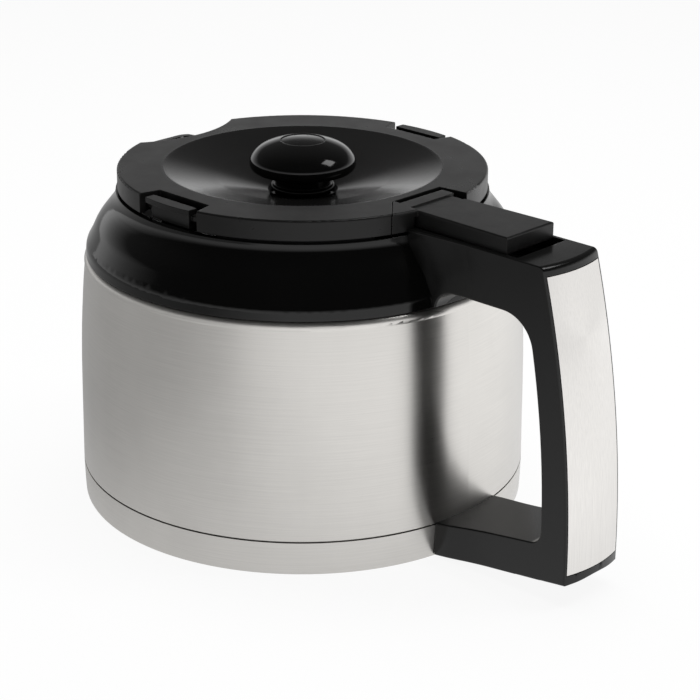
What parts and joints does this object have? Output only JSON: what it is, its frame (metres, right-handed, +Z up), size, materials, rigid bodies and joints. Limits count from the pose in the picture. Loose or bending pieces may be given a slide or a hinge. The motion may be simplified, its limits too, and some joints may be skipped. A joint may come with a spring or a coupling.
{
  "type": "thermal carafe",
  "caption": "Squat steel thermal jug with a D-handle, black collar and spout, and a lift-off lid whose thumb lever opens a pour valve.",
  "frame": {"origin": "centre of the round base, on the table plane", "axes": "+Z up, +X towards the handle, -X towards the spout"},
  "size_m": [0.2016, 0.15, 0.121],
  "materials": {
    "brushed_steel": "brushed round the body",
    "liner_steel": "plain",
    "trim_steel": "satin, brushed along its length",
    "gloss_black": "glossy",
    "satin_black": "satin",
    "inner_black": "plain",
    "silicone": "soft",
    "spring_steel": "drawn wire",
    "screw_steel": "plain"
  },
  "bodies": {
    "jug": {"outer_shell": "brushed_steel", "inner_vessel": "liner_steel", "base_ring": "brushed_steel", "base_cover": "inner_black", "foot_screw": "screw_steel", "collar": "gloss_black", "collar_gasket": "silicone", "handle_frame": "satin_black", "handle_trim": "trim_steel", "handle_screws": "screw_steel"},
    "lid": {"lid_cover": "satin_black", "lid_body": "inner_black", "lid_seal": "silicone", "knob": "gloss_black", "knob_disc": "satin_black", "brew_tube": "inner_black", "lever_pin": "screw_steel", "valve_spring": "spring_steel", "catch_spring_left": "spring_steel", "catch_spring_right": "spring_steel"},
    "lever": {"thumb_lever": "satin_black"},
    "valve": {"pour_valve": "inner_black", "valve_seal": "silicone"},
    "catch_l": {"catch_left": "satin_black"},
    "catch_r": {"catch_right": "satin_black"}
  },
  "joints": [
    {"name": "lid_lift", "type": "slide", "parent": "jug", "child": "lid", "axis": [0, 0, 1], "range_m": [0, 0.06]},
    {"name": "lever_press", "type": "hinge", "parent": "lid", "child": "lever", "pos_m": [0.0527, 0, 0.1065], "axis": [0, 1, 0], "range_deg": [0, 6], "stiffness_Nm_per_rad": 1, "springref_deg": -9.74},
    {"name": "valve_lift", "type": "slide", "parent": "lid", "child": "valve", "axis": [0, 0, 1], "range_m": [0, 0.00565], "deforming": ["valve_spring"]},
    {"name": "catch_left_press", "type": "slide", "parent": "lid", "child": "catch_l", "axis": [0, -1, 0], "range_m": [0, 0.0025], "stiffness_N_per_m": 500, "springref_m": -0.006, "deforming": ["catch_spring_left"]},
    {"name": "catch_right_press", "type": "slide", "parent": "lid", "child": "catch_r", "axis": [0, 1, 0], "range_m": [0, 0.0025], "stiffness_N_per_m": 500, "springref_m": -0.006, "deforming": ["catch_spring_right"]}
  ],
  "couplings": [
    {"joint": "valve_lift", "follows": "lever_press", "m_per_rad": 0.0539}
  ]
}
